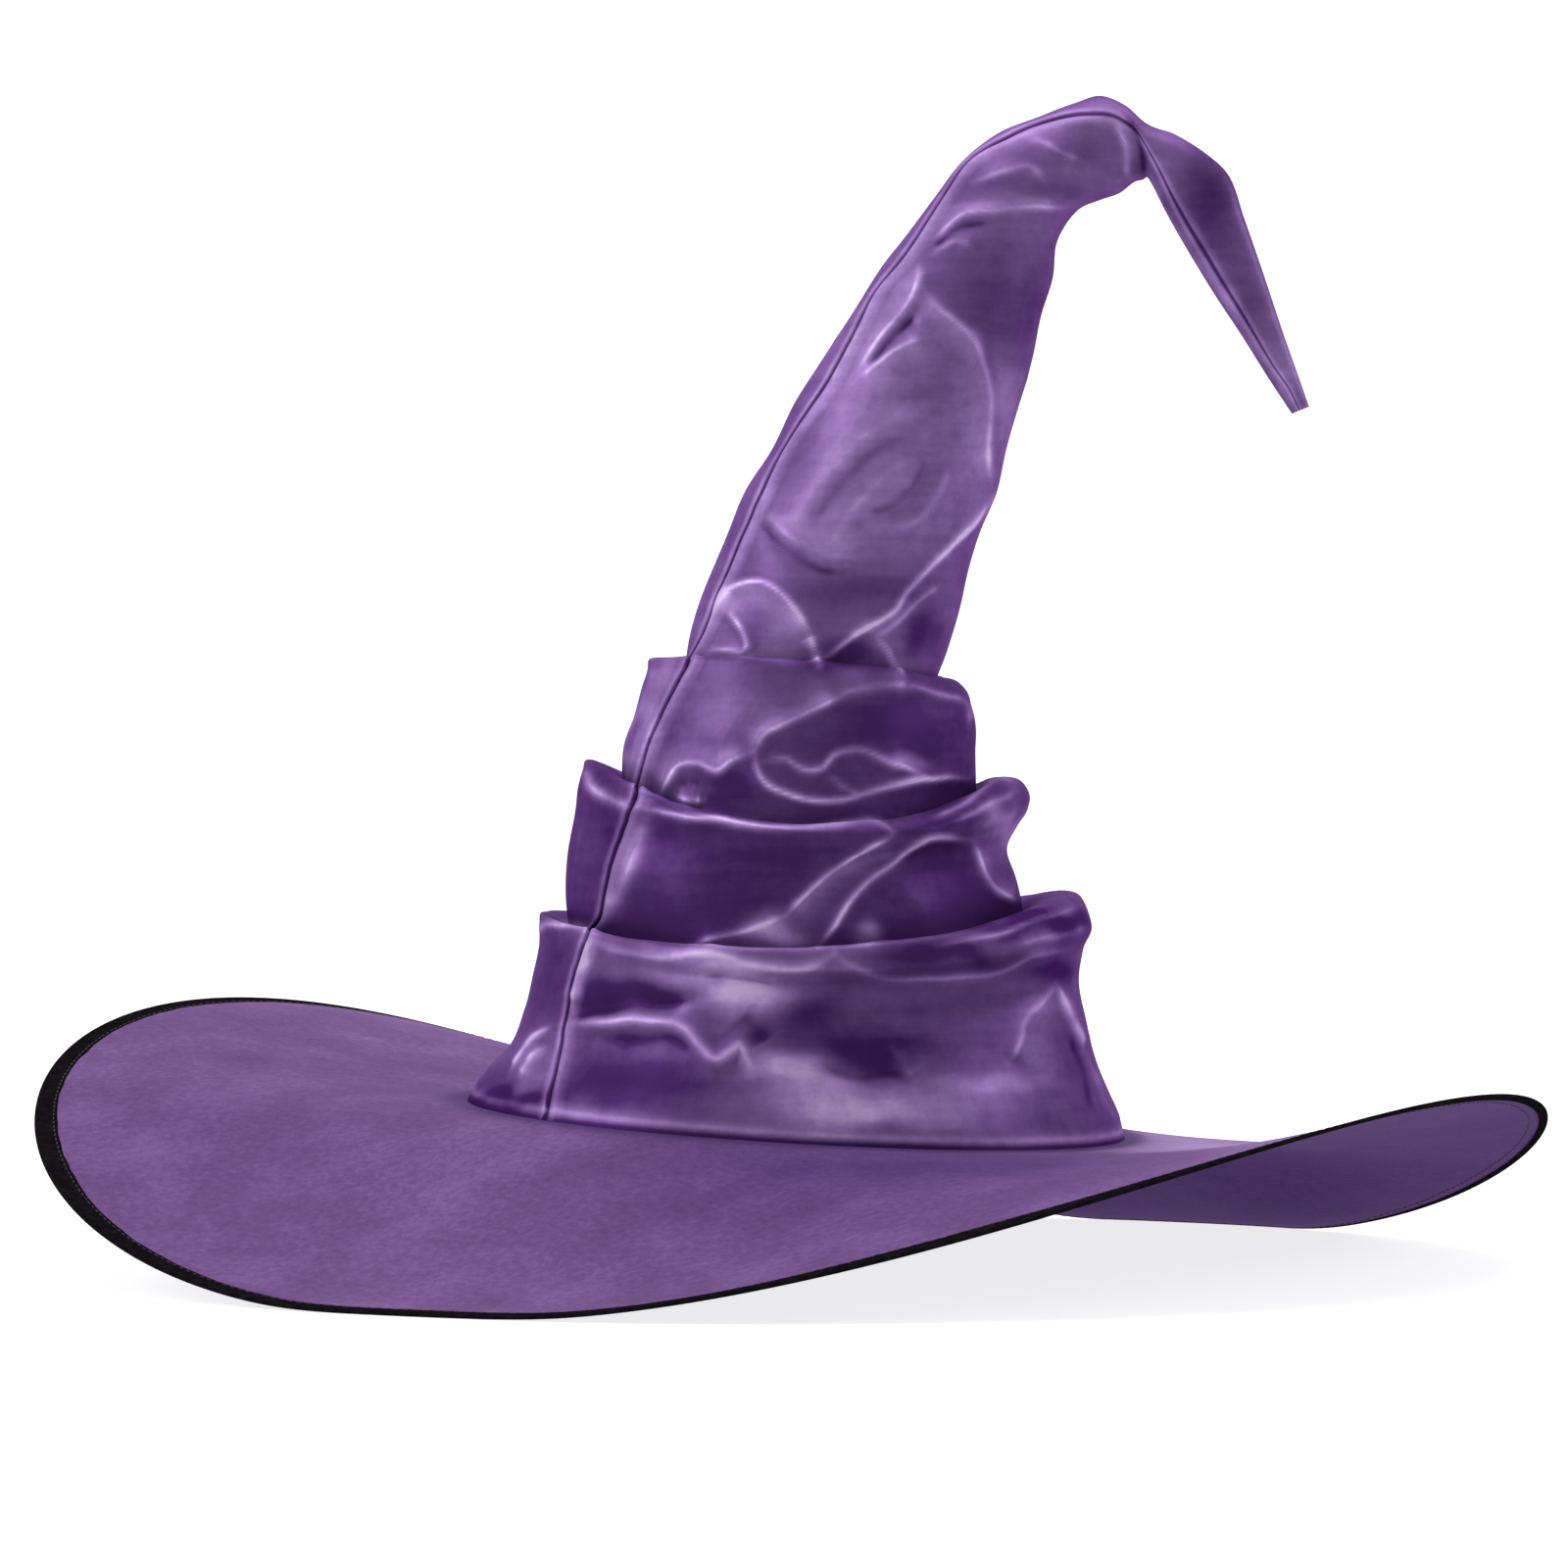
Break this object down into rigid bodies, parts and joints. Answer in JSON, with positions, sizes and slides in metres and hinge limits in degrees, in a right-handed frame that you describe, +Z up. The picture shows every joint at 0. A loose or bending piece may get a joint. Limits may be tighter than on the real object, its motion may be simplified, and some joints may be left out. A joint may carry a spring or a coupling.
{
  "type": "witch hat",
  "caption": "Pointed satin costume hat with a tall, slumped and leaning crown, a tip folded over sideways, and a wide wavy brim with a bound edge.",
  "frame": {"origin": "on the surface that the hat stands on, under the middle of the brim", "axes": "+Z up, -Y towards the viewer, +X to the viewer's right, the way the tip points"},
  "size_m": [0.445, 0.44, 0.345],
  "materials": {
    "crown_satin": "deep purple satin with soft bright sheen along its folds",
    "brim_satin": "muted purple satin with a low sheen and a fine grain",
    "binding_tape": "matt black woven tape"
  },
  "bodies": {
    "root": {"crown": "crown_satin", "brim": "brim_satin", "brim_binding": "binding_tape"}
  },
  "joints": []
}
